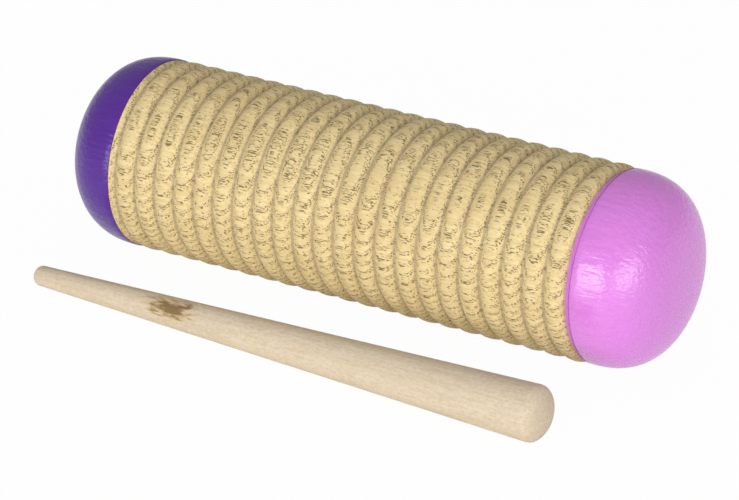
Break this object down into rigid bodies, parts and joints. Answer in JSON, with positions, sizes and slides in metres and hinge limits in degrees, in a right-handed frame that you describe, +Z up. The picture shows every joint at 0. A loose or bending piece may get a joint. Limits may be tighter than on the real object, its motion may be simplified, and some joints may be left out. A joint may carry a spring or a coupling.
{
  "type": "reco-reco",
  "caption": "Wooden reco-reco: a ribbed, bored barrel with domed painted end caps and loose beads inside, with a tapered wooden scraper lying beside it.",
  "frame": {"origin": "middle of the set's footprint, on the surface it lies on", "axes": "+X along the barrel towards the pink cap, -Y towards the scraper, +Z up"},
  "size_m": [0.1902, 0.089, 0.0549],
  "materials": {
    "barrel_wood": "bare pale hardwood with dark pores, matte",
    "scraper_wood": "bare pale hardwood, matte",
    "purple_paint": "semi-gloss violet paint on wood",
    "pink_paint": "semi-gloss pink paint on wood",
    "bead_steel": "plain steel shot"
  },
  "bodies": {
    "barrel": {"ribbed_barrel": "barrel_wood", "purple_end_cap": "purple_paint", "pink_end_cap": "pink_paint"},
    "scraper": {"scraper": "scraper_wood"},
    "front_beads": {"bead_front_1": "bead_steel", "bead_front_2": "bead_steel", "bead_front_3": "bead_steel", "bead_front_4": "bead_steel", "bead_front_5": "bead_steel", "bead_front_6": "bead_steel", "bead_front_7": "bead_steel", "bead_front_8": "bead_steel"},
    "middle_beads": {"bead_middle_1": "bead_steel", "bead_middle_2": "bead_steel", "bead_middle_3": "bead_steel", "bead_middle_4": "bead_steel", "bead_middle_5": "bead_steel", "bead_middle_6": "bead_steel", "bead_middle_7": "bead_steel", "bead_middle_8": "bead_steel", "bead_middle_9": "bead_steel"},
    "back_beads": {"bead_back_1": "bead_steel", "bead_back_2": "bead_steel", "bead_back_3": "bead_steel", "bead_back_4": "bead_steel", "bead_back_5": "bead_steel", "bead_back_6": "bead_steel", "bead_back_7": "bead_steel", "bead_back_8": "bead_steel"}
  },
  "joints": [
    {"name": "scraper_stroke", "type": "slide", "parent": "barrel", "child": "scraper", "axis": [1, 0, 0], "range_m": [-0.073, 0.073]},
    {"name": "front_bead_run", "type": "slide", "parent": "barrel", "child": "front_beads", "axis": [1, 0, 0], "range_m": [-0.0405, 0.0405]},
    {"name": "middle_bead_run", "type": "slide", "parent": "barrel", "child": "middle_beads", "axis": [1, 0, 0], "range_m": [-0.0375, 0.0375]},
    {"name": "back_bead_run", "type": "slide", "parent": "barrel", "child": "back_beads", "axis": [1, 0, 0], "range_m": [-0.0405, 0.0405]}
  ]
}
